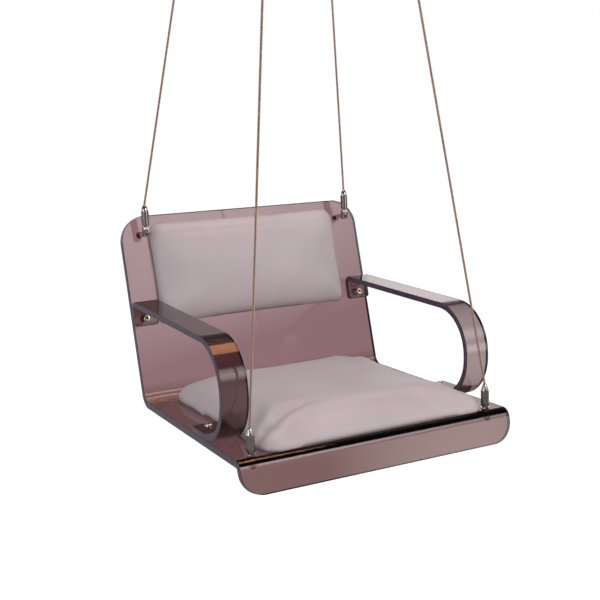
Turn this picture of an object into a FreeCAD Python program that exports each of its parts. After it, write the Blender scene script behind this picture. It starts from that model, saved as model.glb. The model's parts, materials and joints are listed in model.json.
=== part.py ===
import FreeCAD, Part
import math
import os
import re
import Sketcher

# A hanging swing seat. One sheet of clear acrylic is bent into a seat, a reclined
# back and a turned-down front lip. Two bent acrylic straps are the armrests. Four
# wire ropes run from grippers near the corners up to eyes on ceiling forks.
#
# Row frame: +Z is up, the front of the seat faces -Y, and the origin is midway
# between the studs of the two front ceiling forks, on the ceiling plane.
# Seat frame: its origin is the front edge of the seat's top face, and that face is
# level in it. The seat hangs leaning back by seat_tilt in the row frame.
DIMENSIONS = {
    # bent acrylic shell
    "seat_width": 600,
    "seat_depth": 508,
    "sheet_thick": 15,
    "back_height": 411,
    "recline": 14,
    "lip_height": 66,
    "lip_flare": 13,
    "front_bend_inner": 5,
    "rear_bend_inner": 20,
    "back_corner": 60,
    "lip_corner": 45,
    # armrest straps
    "arm_width": 55,
    "arm_thick": 12,
    "arm_front_y": 64,
    "arm_front_height": 200.6,
    "arm_front_flat": 8,
    "arm_slope": 1.9,
    "arm_foot_end_y": 228,
    "arm_flange": 60,
    "arm_bend_inner": 6,
    "arm_corner": 8,
    "arm_back_screw_drop": 43.6,
    "arm_foot_screw_in": 23,
    # round-head screws and closed nuts
    "screw_radius": 4,
    "screw_head_radius": 8,
    "screw_head": 5,
    "screw_hole_slack": 0.25,
    "nut_across": 13,
    "nut_high": 12,
    "thread_slack": 0.05,
    "thread_grip": 9,
    "thread_end_gap": 0.5,
    # rope grippers
    "gripper_radius": 8.2,
    "gripper_barrel": 32,
    "neck_radius": 6,
    "neck_high": 3,
    "block_high": 20,
    "block_neck_radius": 4.2,
    "block_neck_high": 4,
    "block_half_deep": 6.5,
    "cone_high": 13,
    "cone_tip_radius": 3.7,
    "mouth_slack": 0.6,
    "mouth_deep": 2.4,
    "rope_in_mouth": 1.5,
    "front_stud_in": 37,
    "front_stud_y": 29,
    "stud_in_gripper": 12,
    "collar_radius": 9,
    "collar_thick": 2,
    "rear_stud_in": 47,
    "rear_stud_below": 42.5,
    "rear_block_off": 35,
    "rear_head_radius": 6,
    "rear_head": 4,
    "spacer_radius": 5,
    # ropes, their upper eyes and the ceiling forks
    "rope_radius": 2.5,
    "hook_y": 203,
    "hook_z": 2118,
    "ceiling_below_hook": 1185,
    "seat_tilt": 4,
    "eye_barrel_radius": 6,
    "eye_barrel": 34,
    "eye_thick": 8,
    "eye_hole_radius": 8.5,
    "eye_rim": 7,
    "eye_slot": 8,
    "eye_pin_gap": 0.8,
    "eye_neck_sunk": 4,
    "fork_stud_radius": 4,
    "fork_stud": 25,
    "fork_plate": 42,
    "fork_plate_thick": 5,
    "fork_gap": 16,
    "fork_tine": 5,
    "fork_tine_wide": 20,
    "fork_tine_cut": 6,
    "fork_pin_drop": 28,
    "fork_below_pin": 10,
    "pin_radius": 4,
    "pin_slack": 0.05,
    "pin_head_across": 13,
    "pin_head": 5,
    "pin_nut": 6,
    "pin_tail": 8,
    # cushions, their base boards and their fastening strips
    "cushion_gap": 0.3,
    "cushion_edge": 70,
    "strip_thick": 2,
    "strip_wide": 50,
    "strip_end_in": 30,
    "board_thick": 8,
    "board_inset": 36,
    "seat_cushion_arm_gap": 2,
    "seat_cushion_front": 10,
    "seat_cushion_rear_gap": 24,
    "seat_cushion_high": 52,
    "seat_cushion_corner": 46,
    "seat_cushion_pull": 5,
    "back_cushion_arm_gap": 12,
    "back_cushion_shift": 6,
    "back_cushion_long": 226,
    "back_cushion_below_top": 21,
    "back_cushion_high": 46,
    "back_cushion_corner": 26,
    "back_cushion_pull": 3,
    "overrun": 1,
}
# Each cushion's side profile: how far an outline is drawn in, as a share of
# cushion_edge, and its height, as a share of the cushion's height.
PROFILE_SHARES = [
    (0.16, 0.0),
    (0.0, 0.35),
    (0.1, 0.75),
    (0.4, 0.94),
    (1.0, 1.0),
]
# The most that a corner's radius may be, as a share of the half length beside it
CORNER_SHARE = 0.84
# Where the two fastening strips of a cushion lie, as shares of its half length
STRIP_SHARES = (-0.45, 0.45)
X_AXIS = FreeCAD.Vector(1, 0, 0)
Y_AXIS = FreeCAD.Vector(0, 1, 0)
Z_AXIS = FreeCAD.Vector(0, 0, 1)
QUARTER_TURN = 90.0
SIXTH_TURN = 60.0
SIDES = {"left": -1, "right": 1}
PAIRS = ("front", "rear")
ALIAS = re.compile(r"\b(" + "|".join(DIMENSIONS) + r")\b")
os.makedirs("parts", exist_ok=True)
doc = FreeCAD.newDocument("swing_seat")
sheet = doc.addObject("Spreadsheet::Sheet", "Sizes")
for row, (alias, value) in enumerate(DIMENSIONS.items(), start=1):
    sheet.set(f"A{row}", alias)
    sheet.set(f"B{row}", str(value))
    sheet.setAlias(f"B{row}", alias)
doc.recompute()
kept = []


def linked(text):
    """The expression with each alias turned into a reference to its cell."""
    return ALIAS.sub(r"Sizes.\1", text)


def worth(text):
    """The number that an expression of aliases comes to now."""
    return float(sheet.evalExpression(text))


def vector(x, y, z):
    return FreeCAD.Vector(x, y, z)


def turn(axis, degrees):
    return FreeCAD.Rotation(axis, degrees)


def placed(position, rotation=FreeCAD.Rotation()):
    return FreeCAD.Placement(position, rotation)


# Sketches, whose points and radii are bound to the spreadsheet
def new_body(label):
    body = doc.addObject("PartDesign::Body", label)
    body.Label = label
    return body


def new_sketch(body, role, away=None, leaned=None):
    """A sketch on one of the body's origin planes, or moved off it and leaned."""
    sketch = body.newObject("Sketcher::SketchObject", f"{body.Name}_sketch")
    plane = next(o for o in body.Origin.OriginFeatures if o.Role == role)
    sketch.AttachmentSupport = [(plane, "")]
    sketch.MapMode = "FlatFace"
    if away:
        sketch.AttachmentOffset = placed(vector(0, 0, worth(away)), turn(X_AXIS, worth(leaned)))
        sketch.setExpression("AttachmentOffset.Base.z", linked(away))
        sketch.setExpression("AttachmentOffset.Rotation.Angle", linked(leaned))
    return sketch


def hold(sketch, kind, *places, text):
    """One dimension whose value follows an expression."""
    index = sketch.addConstraint(Sketcher.Constraint(kind, *places, worth(text)))
    sketch.setExpression(f"Constraints[{index}]", linked(text))


def polygon(sketch, corners):
    """A closed outline of lines through corners, each a pair of expressions."""
    points = [vector(worth(x), worth(y), 0) for x, y in corners]
    ends = points[1:] + points[:1]
    lines = [sketch.addGeometry(Part.LineSegment(a, b), False) for a, b in zip(points, ends)]
    for line, following in zip(lines, lines[1:] + lines[:1]):
        sketch.addConstraint(Sketcher.Constraint("Coincident", line, 2, following, 1))
    for line, (x, y) in zip(lines, corners):
        hold(sketch, "DistanceX", -1, 1, line, 1, text=x)
        hold(sketch, "DistanceY", -1, 1, line, 1, text=y)


def rectangle(sketch, low_x, low_y, high_x, high_y):
    polygon(sketch, [(low_x, low_y), (high_x, low_y), (high_x, high_y), (low_x, high_y)])


def hexagon(sketch, across):
    """A regular hexagon about the sketch's origin, by its width across flats."""
    turns = [SIXTH_TURN * corner for corner in range(6)]
    polygon(sketch, [
        (f"{across} / sqrt(3) * cos({degrees})", f"{across} / sqrt(3) * sin({degrees})")
        for degrees in turns
    ])


def circle(sketch, x, y, radius):
    middle = vector(worth(x), worth(y), 0)
    index = sketch.addGeometry(Part.Circle(middle, Z_AXIS, worth(radius)), False)
    hold(sketch, "Radius", index, text=radius)
    hold(sketch, "DistanceX", -1, 1, index, 3, text=x)
    hold(sketch, "DistanceY", -1, 1, index, 3, text=y)


def stadium(sketch, low, high, radius):
    """Two half circles on the sketch's upright axis, joined by two lines."""
    wide, bottom, top = worth(radius), worth(low), worth(high)
    upper = Part.ArcOfCircle(Part.Circle(vector(0, top, 0), Z_AXIS, wide), 0, math.pi)
    lower = Part.ArcOfCircle(Part.Circle(vector(0, bottom, 0), Z_AXIS, wide), math.pi, math.tau)
    left = Part.LineSegment(vector(-wide, top, 0), vector(-wide, bottom, 0))
    right = Part.LineSegment(vector(wide, bottom, 0), vector(wide, top, 0))
    ring = [sketch.addGeometry(piece, False) for piece in (upper, left, lower, right)]
    for piece, following in zip(ring, ring[1:] + ring[:1]):
        sketch.addConstraint(Sketcher.Constraint("Tangent", piece, 2, following, 1))
    hold(sketch, "DistanceX", -1, 1, ring[0], 3, text="0")
    hold(sketch, "DistanceX", -1, 1, ring[2], 3, text="0")
    hold(sketch, "DistanceY", -1, 1, ring[0], 3, text=high)
    hold(sketch, "DistanceY", -1, 1, ring[2], 3, text=low)
    hold(sketch, "Radius", ring[0], text=radius)


# Features on a body
def pad(body, sketch, length, both_ways=True, down=False):
    added = body.newObject("PartDesign::Pad", f"{body.Name}_pad")
    added.Profile = sketch
    added.SideType = "Symmetric" if both_ways else "One side"
    added.Reversed = down
    added.setExpression("Length", linked(length))
    doc.recompute()


def cut(body, sketch, depth=None):
    """A pocket to both sides of its sketch: right through, or of one total depth."""
    before = body.Shape.Volume
    added = body.newObject("PartDesign::Pocket", f"{body.Name}_pocket")
    added.Profile = sketch
    added.SideType = "Symmetric"
    if depth:
        added.setExpression("Length", linked(depth))
    else:
        added.Type = "ThroughAll"
    doc.recompute()
    if body.Shape.Volume >= before:
        raise RuntimeError(f"a pocket of {body.Label} cuts nothing")


def revolve(body, corners):
    """Turn an outline of (radius, height) corners about the body's Z axis."""
    sketch = new_sketch(body, "XZ_Plane")
    polygon(sketch, corners)
    added = body.newObject("PartDesign::Revolution", f"{body.Name}_revolution")
    added.Profile = sketch
    added.ReferenceAxis = (sketch, ["V_Axis"])
    doc.recompute()


def edges_at(body, points):
    """Names of the edges whose middle lies at one of the points."""
    near = worth("screw_hole_slack")
    names = [
        f"Edge{number}" for number, edge in enumerate(body.Shape.Edges, start=1)
        if any((edge.CenterOfMass - point).Length < near for point in points)
    ]
    if len(names) < len(points):
        raise RuntimeError(f"{body.Label}: {len(names)} edges found for {len(points)} points")
    return names


def fillet(body, names, radius):
    base = body.Tip
    added = body.newObject("PartDesign::Fillet", f"{body.Name}_fillet")
    added.Base = (base, names)
    added.setExpression("Radius", linked(radius))
    doc.recompute()


def keep(item, placement=None):
    if placement:
        item.Placement = placement
    kept.append(item)
    return item


def shape_part(label, shape, placement=FreeCAD.Placement()):
    """A sub-part whose shape is worked out in this file."""
    item = doc.addObject("Part::Feature", label)
    item.Label = label
    item.Shape = shape
    return keep(item, placement)


def group(label, master, places):
    """Equal solids in one sub-part: the master's shape at each place of the seat or row."""
    solids = []
    for place in places:
        solid = master.Shape.copy()
        solid.Placement = place
        solids.append(solid)
    return shape_part(label, Part.makeCompound(solids))


# Expressions that several sub-parts share
ARM_X = "(seat_width - arm_width) / 2"
ARM_FALL = "(1 - tan(recline) * tan(arm_slope))"
ARM_TOP_Z = f"(arm_front_height + (seat_depth - arm_front_y) * tan(arm_slope)) / {ARM_FALL}"
ARM_TOP_UP = f"{ARM_TOP_Z} / cos(recline)"
ARM_SCREW_UP = f"{ARM_TOP_UP} - arm_back_screw_drop"
ARM_SCREW_Y = "arm_foot_end_y - arm_foot_screw_in"
SCREW_HOLE = "screw_radius + screw_hole_slack"
THREAD_BORE = "screw_radius + thread_slack"
FRONT_STUD_X = "(seat_width / 2 - front_stud_in)"
REAR_STUD_X = "(seat_width / 2 - rear_stud_in)"
REAR_STUD_UP = "(back_height - rear_stud_below)"
CUSHION_SPANS = {
    "seat_cushion": (
        "(seat_width - 2 * (arm_width + seat_cushion_arm_gap))",
        "(seat_depth - seat_cushion_front - seat_cushion_rear_gap)",
    ),
    "back_cushion": (
        "(seat_width - 2 * (arm_width + back_cushion_arm_gap))",
        "back_cushion_long",
    ),
}
EYE_TOP_CENTRE = "(eye_hole_radius - pin_radius - eye_pin_gap)"
EYE_MOUTH = f"{EYE_TOP_CENTRE} + eye_slot + eye_hole_radius + eye_rim - eye_neck_sunk + eye_barrel"
FORK_HALF = "(fork_gap / 2 + fork_tine)"


# Places in the seat frame and in the row frame
def back_place(x, up, off):
    """On the back at a distance up it and in front of it. Local Z points forward."""
    lean = math.radians(worth("recline"))
    y = worth("seat_depth") + up * math.sin(lean) - off * math.cos(lean)
    z = up * math.cos(lean) + off * math.sin(lean)
    return placed(vector(x, y, z), turn(X_AXIS, QUARTER_TURN - worth("recline")))


def gripper_place(pair, side):
    """The origin of a gripper in the seat frame. Local Z is its axis."""
    if pair == "front":
        x = SIDES[side] * worth(FRONT_STUD_X)
        return placed(vector(x, worth("front_stud_y"), worth("collar_thick")))
    x = SIDES[side] * worth(REAR_STUD_X)
    return placed(back_place(x, worth(REAR_STUD_UP), worth("rear_block_off")).Base)


def cone_height(pair):
    """How far a gripper's cone starts above the gripper's own origin."""
    if pair == "front":
        return worth("neck_high + gripper_barrel")
    return worth("block_high / 2 + block_neck_high + gripper_barrel")


def tip_in_seat(pair, side):
    """The middle of a cone's tip, where its rope turns, in the seat frame."""
    above = cone_height(pair) + worth("cone_high")
    return gripper_place(pair, side).Base + vector(0, 0, above)


hook = vector(0, worth("hook_y"), worth("hook_z"))
seat_turn = turn(X_AXIS, -worth("seat_tilt"))


def pin_from_hook(pair, side):
    """Where the rope's straight line to the hook passes the height of the pins."""
    tip = seat_turn.multVec(tip_in_seat(pair, side) - hook)
    return tip * (-worth("ceiling_below_hook + fork_pin_drop") / tip.z)


to_row = vector(0, -pin_from_hook("front", "left").y, worth("ceiling_below_hook"))
seat_place = placed(seat_turn.multVec(-hook) + to_row, seat_turn)


def in_seat(place):
    return seat_place.multiply(place)


def pin_point(pair, side):
    return pin_from_hook(pair, side) + to_row


def tip_point(pair, side):
    return seat_place.multVec(tip_in_seat(pair, side))


def rope_turn(pair, side):
    """Turns local Z along the rope, upwards, with local X kept square to its lean in Y."""
    along = (pin_point(pair, side) - tip_point(pair, side)).normalize()
    lean = math.degrees(math.atan2(along.y, along.z))
    slant = math.degrees(math.asin(along.x))
    return turn(X_AXIS, -lean).multiply(turn(Y_AXIS, slant))


# The bent acrylic shell
def make_shell():
    body = new_body("seat_shell")
    foot_y = "-lip_height * sin(lip_flare)"
    foot_z = "-lip_height * cos(lip_flare)"
    top_y = "seat_depth + back_height * sin(recline)"
    top_z = "back_height * cos(recline)"
    outline = [
        ("0", "0"),
        (foot_y, foot_z),
        (f"{foot_y} + sheet_thick * cos(lip_flare)", f"{foot_z} - sheet_thick * sin(lip_flare)"),
        ("sheet_thick * (1 - sin(lip_flare)) / cos(lip_flare)", "-sheet_thick"),
        ("seat_depth + sheet_thick * (1 - sin(recline)) / cos(recline)", "-sheet_thick"),
        (f"{top_y} + sheet_thick * cos(recline)", f"{top_z} - sheet_thick * sin(recline)"),
        (top_y, top_z),
        ("seat_depth", "0"),
    ]
    side_view = new_sketch(body, "YZ_Plane")
    polygon(side_view, outline)
    pad(body, side_view, "seat_width")
    corners = [vector(0, worth(y), worth(z)) for y, z in outline]
    front_outer, lip_a, lip_b, front_inner, rear_outer, top_a, top_b, rear_inner = corners
    fillet(body, edges_at(body, [front_inner]), "front_bend_inner")
    fillet(body, edges_at(body, [front_outer]), "front_bend_inner + sheet_thick")
    fillet(body, edges_at(body, [rear_inner]), "rear_bend_inner")
    fillet(body, edges_at(body, [rear_outer]), "rear_bend_inner + sheet_thick")
    half = vector(worth("seat_width / 2"), 0, 0)
    back_top = (top_a + top_b) / 2
    lip_low = (lip_a + lip_b) / 2
    fillet(body, edges_at(body, [back_top - half, back_top + half]), "back_corner")
    fillet(body, edges_at(body, [lip_low - half, lip_low + half]), "lip_corner")
    seat_holes = new_sketch(body, "XY_Plane")
    back_holes = new_sketch(body, "XZ_Plane", away="-seat_depth", leaned="-recline")
    for sign in ("", "-"):
        circle(seat_holes, f"{sign}{FRONT_STUD_X}", "front_stud_y", SCREW_HOLE)
        circle(seat_holes, f"{sign}{ARM_X}", ARM_SCREW_Y, SCREW_HOLE)
        circle(back_holes, f"{sign}{REAR_STUD_X}", REAR_STUD_UP, SCREW_HOLE)
        circle(back_holes, f"{sign}{ARM_X}", ARM_SCREW_UP, SCREW_HOLE)
    cut(body, seat_holes)
    cut(body, back_holes)
    return keep(body, seat_place)


# The armrest straps, each bent from one strip
def make_armrest(side):
    body = new_body(f"{side}_armrest")
    top_y = f"seat_depth + {ARM_TOP_Z} * tan(recline)"
    under_front = "(arm_front_height - arm_thick / cos(arm_slope))"
    run = "(seat_depth - arm_thick / cos(recline) - arm_front_y)"
    under_z = f"({under_front} + {run} * tan(arm_slope)) / {ARM_FALL}"
    under_y = f"seat_depth - arm_thick / cos(recline) + {under_z} * tan(recline)"
    end_y = f"{top_y} - arm_flange * sin(recline)"
    end_z = f"{ARM_TOP_Z} - arm_flange * cos(recline)"
    outline = [
        ("arm_foot_end_y", "0"),
        ("arm_front_y", "0"),
        ("arm_front_y", "arm_front_height"),
        (top_y, ARM_TOP_Z),
        (end_y, end_z),
        (f"{end_y} - arm_thick * cos(recline)", f"{end_z} + arm_thick * sin(recline)"),
        (under_y, under_z),
        ("arm_front_y + arm_thick", f"{under_front} + arm_thick * tan(arm_slope)"),
        ("arm_front_y + arm_thick", "arm_thick"),
        ("arm_foot_end_y", "arm_thick"),
    ]
    side_view = new_sketch(body, "YZ_Plane")
    polygon(side_view, outline)
    pad(body, side_view, "arm_width")
    corners = [vector(0, worth(y), worth(z)) for y, z in outline]
    foot_a, low_out, high_out, rear_out, end_a, end_b, rear_in, high_in, low_in, foot_b = corners
    loop_outer = "(arm_front_height - arm_front_flat) / (1 + 1 / tan(45 + arm_slope / 2))"
    fillet(body, edges_at(body, [low_in, high_in]), f"{loop_outer} - arm_thick")
    fillet(body, edges_at(body, [low_out, high_out]), loop_outer)
    fillet(body, edges_at(body, [rear_in]), "arm_bend_inner")
    fillet(body, edges_at(body, [rear_out]), "arm_bend_inner + arm_thick")
    half = vector(worth("arm_width / 2"), 0, 0)
    ends = [(foot_a + foot_b) / 2, (end_a + end_b) / 2]
    fillet(body, edges_at(body, [end + way for end in ends for way in (half, -half)]), "arm_corner")
    foot_hole = new_sketch(body, "XY_Plane")
    circle(foot_hole, "0", ARM_SCREW_Y, SCREW_HOLE)
    cut(body, foot_hole, depth="2 * (arm_thick + overrun)")
    flange_hole = new_sketch(body, "XZ_Plane", away="-seat_depth", leaned="-recline")
    circle(flange_hole, "0", ARM_SCREW_UP, SCREW_HOLE)
    cut(body, flange_hole, depth="2 * (arm_thick + overrun)")
    return keep(body, in_seat(placed(vector(SIDES[side] * worth(ARM_X), 0, 0))))


# Fasteners. A screw's head sits on its local XY plane, a nut hangs below its own.
def make_screw(label, length, head_radius="screw_head_radius", head="screw_head"):
    body = new_body(label)
    revolve(body, [
        ("0", f"-({length})"),
        ("screw_radius", f"-({length})"),
        ("screw_radius", "0"),
        (head_radius, "0"),
        (head_radius, head),
        ("0", head),
    ])
    return body


def make_closed_nut():
    body = new_body("closed_nut")
    flats = new_sketch(body, "XY_Plane")
    hexagon(flats, "nut_across")
    pad(body, flats, "nut_high", both_ways=False, down=True)
    bore = new_sketch(body, "XY_Plane")
    circle(bore, "0", "0", THREAD_BORE)
    cut(body, bore, depth="2 * (thread_grip + thread_end_gap)")
    return body


def make_ring(label, outer, inner, long):
    body = new_body(label)
    section = new_sketch(body, "XY_Plane")
    circle(section, "0", "0", outer)
    if inner:
        circle(section, "0", "0", inner)
    pad(body, section, long, both_ways=False)
    return body


def make_fasteners():
    arm_screw = make_screw("arm_screw", "arm_thick + sheet_thick + thread_grip")
    rear_length = "rear_block_off + block_half_deep + sheet_thick + thread_grip"
    rear_screw = make_screw("rear_screw", rear_length, "rear_head_radius", "rear_head")
    nut = make_closed_nut()
    stud = make_ring("stud", "screw_radius", None,
                     "thread_grip + sheet_thick + collar_thick + stud_in_gripper")
    collar = make_ring("collar", "collar_radius", THREAD_BORE, "collar_thick")
    spacer = make_ring("spacer", "spacer_radius", THREAD_BORE, "rear_block_off - block_half_deep")

    def on_foot(off):
        x, y, z = worth(ARM_X), worth(ARM_SCREW_Y), worth(off)
        return [in_seat(placed(vector(sign * x, y, z))) for sign in SIDES.values()]

    def on_flange(off):
        x, up, out = worth(ARM_X), worth(ARM_SCREW_UP), worth(off)
        return [in_seat(back_place(sign * x, up, out)) for sign in SIDES.values()]

    def on_front(off):
        x, y, z = worth(FRONT_STUD_X), worth("front_stud_y"), worth(off)
        return [in_seat(placed(vector(sign * x, y, z))) for sign in SIDES.values()]

    def on_rear(off):
        x, up, out = worth(REAR_STUD_X), worth(REAR_STUD_UP), worth(off)
        return [in_seat(back_place(sign * x, up, out)) for sign in SIDES.values()]

    group("armrest_screws", arm_screw, on_foot("arm_thick") + on_flange("arm_thick"))
    group("armrest_nuts", nut, on_foot("-sheet_thick") + on_flange("-sheet_thick"))
    group("front_collars", collar, on_front("0"))
    group("front_studs", stud, on_front("-sheet_thick - thread_grip"))
    group("front_nuts", nut, on_front("-sheet_thick"))
    group("rear_spacers", spacer, on_rear("0"))
    group("rear_screws", rear_screw, on_rear("rear_block_off + block_half_deep"))
    group("rear_nuts", nut, on_rear("-sheet_thick"))


# Rope grippers and the cones that close them
def make_front_grippers():
    body = new_body("front_gripper")
    top = "neck_high + gripper_barrel"
    bore_top = "stud_in_gripper + thread_end_gap"
    revolve(body, [
        (THREAD_BORE, "0"),
        ("neck_radius", "0"),
        ("neck_radius", "neck_high"),
        ("gripper_radius", "neck_high"),
        ("gripper_radius", top),
        ("0", top),
        ("0", bore_top),
        (THREAD_BORE, bore_top),
    ])
    group("front_grippers", body, [in_seat(gripper_place("front", side)) for side in SIDES])


def leaned(off, up):
    """A corner in side view, by its distance off and up a line that leans like the back."""
    y = f"-({off}) * cos(recline) + ({up}) * sin(recline)"
    z = f"({off}) * sin(recline) + ({up}) * cos(recline)"
    return y, z


def make_rear_grippers():
    body = new_body("rear_gripper")
    block_top = "block_high / 2"
    neck_top = f"{block_top} + block_neck_high"
    top = f"{neck_top} + gripper_barrel"
    revolve(body, [
        ("0", f"-{block_top}"),
        ("gripper_radius", f"-{block_top}"),
        ("gripper_radius", block_top),
        ("block_neck_radius", block_top),
        ("block_neck_radius", neck_top),
        ("gripper_radius", neck_top),
        ("gripper_radius", top),
        ("0", top),
    ])
    low, high = "-block_high", "rear_head_radius + screw_hole_slack"
    far = "(gripper_radius + block_high / 2)"
    flats = new_sketch(body, "YZ_Plane")
    for near, away in ((f"-{far}", "-block_half_deep"), ("block_half_deep", far)):
        polygon(flats, [leaned(near, low), leaned(away, low), leaned(away, high), leaned(near, high)])
    cut(body, flats)
    cross_hole = new_sketch(body, "XZ_Plane", away="0", leaned="-recline")
    circle(cross_hole, "0", "0", THREAD_BORE)
    cut(body, cross_hole)
    group("rear_grippers", body, [in_seat(gripper_place("rear", side)) for side in SIDES])


def make_cones():
    """The cone on each gripper, with the mouth that a rope comes out of."""
    body = new_body("gripper_cone")
    mouth = "rope_radius + mouth_slack"
    revolve(body, [
        ("0", "0"),
        ("gripper_radius", "0"),
        ("cone_tip_radius", "cone_high"),
        (mouth, "cone_high"),
        (mouth, "cone_high - mouth_deep"),
        ("0", "cone_high - mouth_deep"),
    ])
    places = []
    for pair in PAIRS:
        for side in SIDES:
            place = gripper_place(pair, side)
            place.Base += vector(0, 0, cone_height(pair))
            places.append(in_seat(place))
    group("gripper_cones", body, places)


# Ropes, each a straight run that starts in its cone's mouth, and their upper eyes
def make_rope(pair, side):
    label = f"{pair}_{side}_rope"
    span = (pin_point(pair, side) - tip_point(pair, side)).Length
    rope = doc.addObject("Part::Cylinder", label)
    rope.Label = label
    rope.setExpression("Radius", linked("rope_radius"))
    rope.setExpression("Height", f"{span} + {linked(f'rope_in_mouth - ({EYE_MOUTH})')}")
    along = rope_turn(pair, side)
    start = tip_point(pair, side) - along.multVec(vector(0, 0, worth("rope_in_mouth")))
    return keep(rope, placed(start, along))


def make_eye(pair, side):
    """A terminal: a slotted eye on a barrel. Its origin is the middle of its pin."""
    body = new_body(f"{pair}_{side}_rope_eye")
    low = f"-{EYE_TOP_CENTRE} - eye_slot"
    high = f"-{EYE_TOP_CENTRE}"
    rim = new_sketch(body, "YZ_Plane")
    stadium(rim, low, high, "eye_hole_radius + eye_rim")
    pad(body, rim, "eye_thick")
    neck = f"{low} - eye_hole_radius - eye_rim + eye_neck_sunk"
    mouth = f"-({EYE_MOUTH})"
    revolve(body, [
        ("0", mouth),
        ("eye_barrel_radius", mouth),
        ("eye_barrel_radius", neck),
        ("0", neck),
    ])
    slot = new_sketch(body, "YZ_Plane")
    stadium(slot, low, high, "eye_hole_radius")
    cut(body, slot)
    return keep(body, placed(pin_point(pair, side), rope_turn(pair, side)))


# Ceiling forks with the bolts and nuts that hold the eyes in them
def make_fork(pair, side):
    body = new_body(f"{pair}_{side}_ceiling_fork")
    plate = new_sketch(body, "XY_Plane")
    half = "fork_plate / 2"
    rectangle(plate, f"-{half}", f"-{half}", half, half)
    pad(body, plate, "fork_plate_thick", both_ways=False, down=True)
    stud = new_sketch(body, "XY_Plane")
    circle(stud, "0", "0", "fork_stud_radius")
    pad(body, stud, "fork_stud", both_ways=False)
    wide, under, end = "fork_tine_wide / 2", "-fork_plate_thick", "-fork_pin_drop - fork_below_pin"
    tines = new_sketch(body, "YZ_Plane")
    polygon(tines, [
        (f"-{wide}", under),
        (f"-{wide}", f"{end} + fork_tine_cut"),
        (f"-{wide} + fork_tine_cut", end),
        (f"{wide} - fork_tine_cut", end),
        (wide, f"{end} + fork_tine_cut"),
        (wide, under),
    ])
    pad(body, tines, "fork_gap + 2 * fork_tine")
    gap = new_sketch(body, "YZ_Plane")
    rectangle(gap, f"-{wide} - overrun", f"{end} - overrun", f"{wide} + overrun", under)
    cut(body, gap, depth="fork_gap")
    hole = new_sketch(body, "YZ_Plane")
    circle(hole, "0", "-fork_pin_drop", "pin_radius + pin_slack")
    cut(body, hole)
    point = pin_point(pair, side)
    return keep(body, placed(vector(point.x, point.y, 0)))


def make_clevis_bolts():
    bolt = new_body("clevis_bolt")
    shank = new_sketch(bolt, "XY_Plane")
    circle(shank, "0", "0", "pin_radius")
    pad(bolt, shank, f"2 * {FORK_HALF} + pin_tail", both_ways=False)
    head = new_sketch(bolt, "XY_Plane")
    hexagon(head, "pin_head_across")
    pad(bolt, head, "pin_head", both_ways=False, down=True)
    nut = new_body("clevis_nut")
    section = new_sketch(nut, "XY_Plane")
    hexagon(section, "pin_head_across")
    circle(section, "0", "0", "pin_radius + thread_slack")
    pad(nut, section, "pin_nut", both_ways=False)
    across = turn(Y_AXIS, QUARTER_TURN)
    beside = vector(worth(FORK_HALF), 0, 0)
    points = [pin_point(pair, side) for pair in PAIRS for side in SIDES]
    group("clevis_bolts", bolt, [placed(point - beside, across) for point in points])
    group("clevis_nuts", nut, [placed(point + beside, across) for point in points])


# Cushions. Local Z is their height off the acrylic, and the outline is centred.
def outline_wire(half_x, half_y, corner, pull, height):
    """Four round corners joined by four sides, straight or drawn in at their middle."""
    corner = min(corner, half_x * CORNER_SHARE, half_y * CORNER_SHARE)
    short = corner * (1 - math.sqrt(0.5))
    edges = []
    for quarter in range(4):
        reach, across = (half_y, half_x) if quarter % 2 == 0 else (half_x, half_y)
        way = turn(Z_AXIS, QUARTER_TURN * quarter)
        start = vector(-across + corner, -reach, height)
        middle = vector(0, -reach + pull, height)
        end = vector(across - corner, -reach, height)
        bend = vector(across - short, -reach + short, height)
        last = vector(across, -reach + corner, height)
        start, middle, end, bend, last = (way.multVec(p) for p in (start, middle, end, bend, last))
        side = Part.Arc(start, middle, end) if pull else Part.LineSegment(start, end)
        edges.append(side.toShape())
        edges.append(Part.Arc(end, bend, last).toShape())
    return Part.Wire(edges)


def cushion_solid(name):
    """A crowned cushion with a recess for its board in the underside."""
    half_x, half_y = (worth(f"{span} / 2") for span in CUSHION_SPANS[name])
    high = worth(f"{name}_high - cushion_gap")
    corner = worth(f"{name}_corner")
    pull = worth(f"{name}_pull")
    base = worth("cushion_gap")
    wires = []
    for inset_share, height_share in PROFILE_SHARES:
        inset = worth("cushion_edge") * inset_share
        height = base + high * height_share
        drawn = pull * (1 - height_share)
        wires.append(outline_wire(half_x - inset, half_y - inset, corner, drawn, height))
    form = Part.makeLoft(wires, True, True)
    grown = worth("board_inset - cushion_gap")
    long, wide = 2 * (half_x - grown), 2 * (half_y - grown)
    deep = worth("strip_thick + board_thick + cushion_gap")
    return form.cut(Part.makeBox(long, wide, deep, vector(grown - half_x, grown - half_y, 0)))


def make_board(name):
    body = new_body(f"{name}_board")
    across, along = (f"({span} / 2 - board_inset)" for span in CUSHION_SPANS[name])
    plan = new_sketch(body, "XY_Plane", away="strip_thick", leaned="0")
    rectangle(plan, f"-{across}", f"-{along}", across, along)
    pad(body, plan, "board_thick", both_ways=False)
    return body


def make_cushion(name, place):
    wide, long = CUSHION_SPANS[name]
    shape_part(name, cushion_solid(name), in_seat(place))
    keep(make_board(name), in_seat(place))
    strip = doc.addObject("Part::Box", f"{name}_strip")
    strip.setExpression("Length", linked(f"{wide} - 2 * board_inset - 2 * strip_end_in"))
    strip.setExpression("Width", linked("strip_wide"))
    strip.setExpression("Height", linked("strip_thick"))
    doc.recompute()
    left = -strip.Length.Value / 2
    rows = [share * worth(f"{long} / 2") - strip.Width.Value / 2 for share in STRIP_SHARES]
    group(f"{name}_strips", strip, [in_seat(place.multiply(placed(vector(left, y, 0)))) for y in rows])


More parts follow.
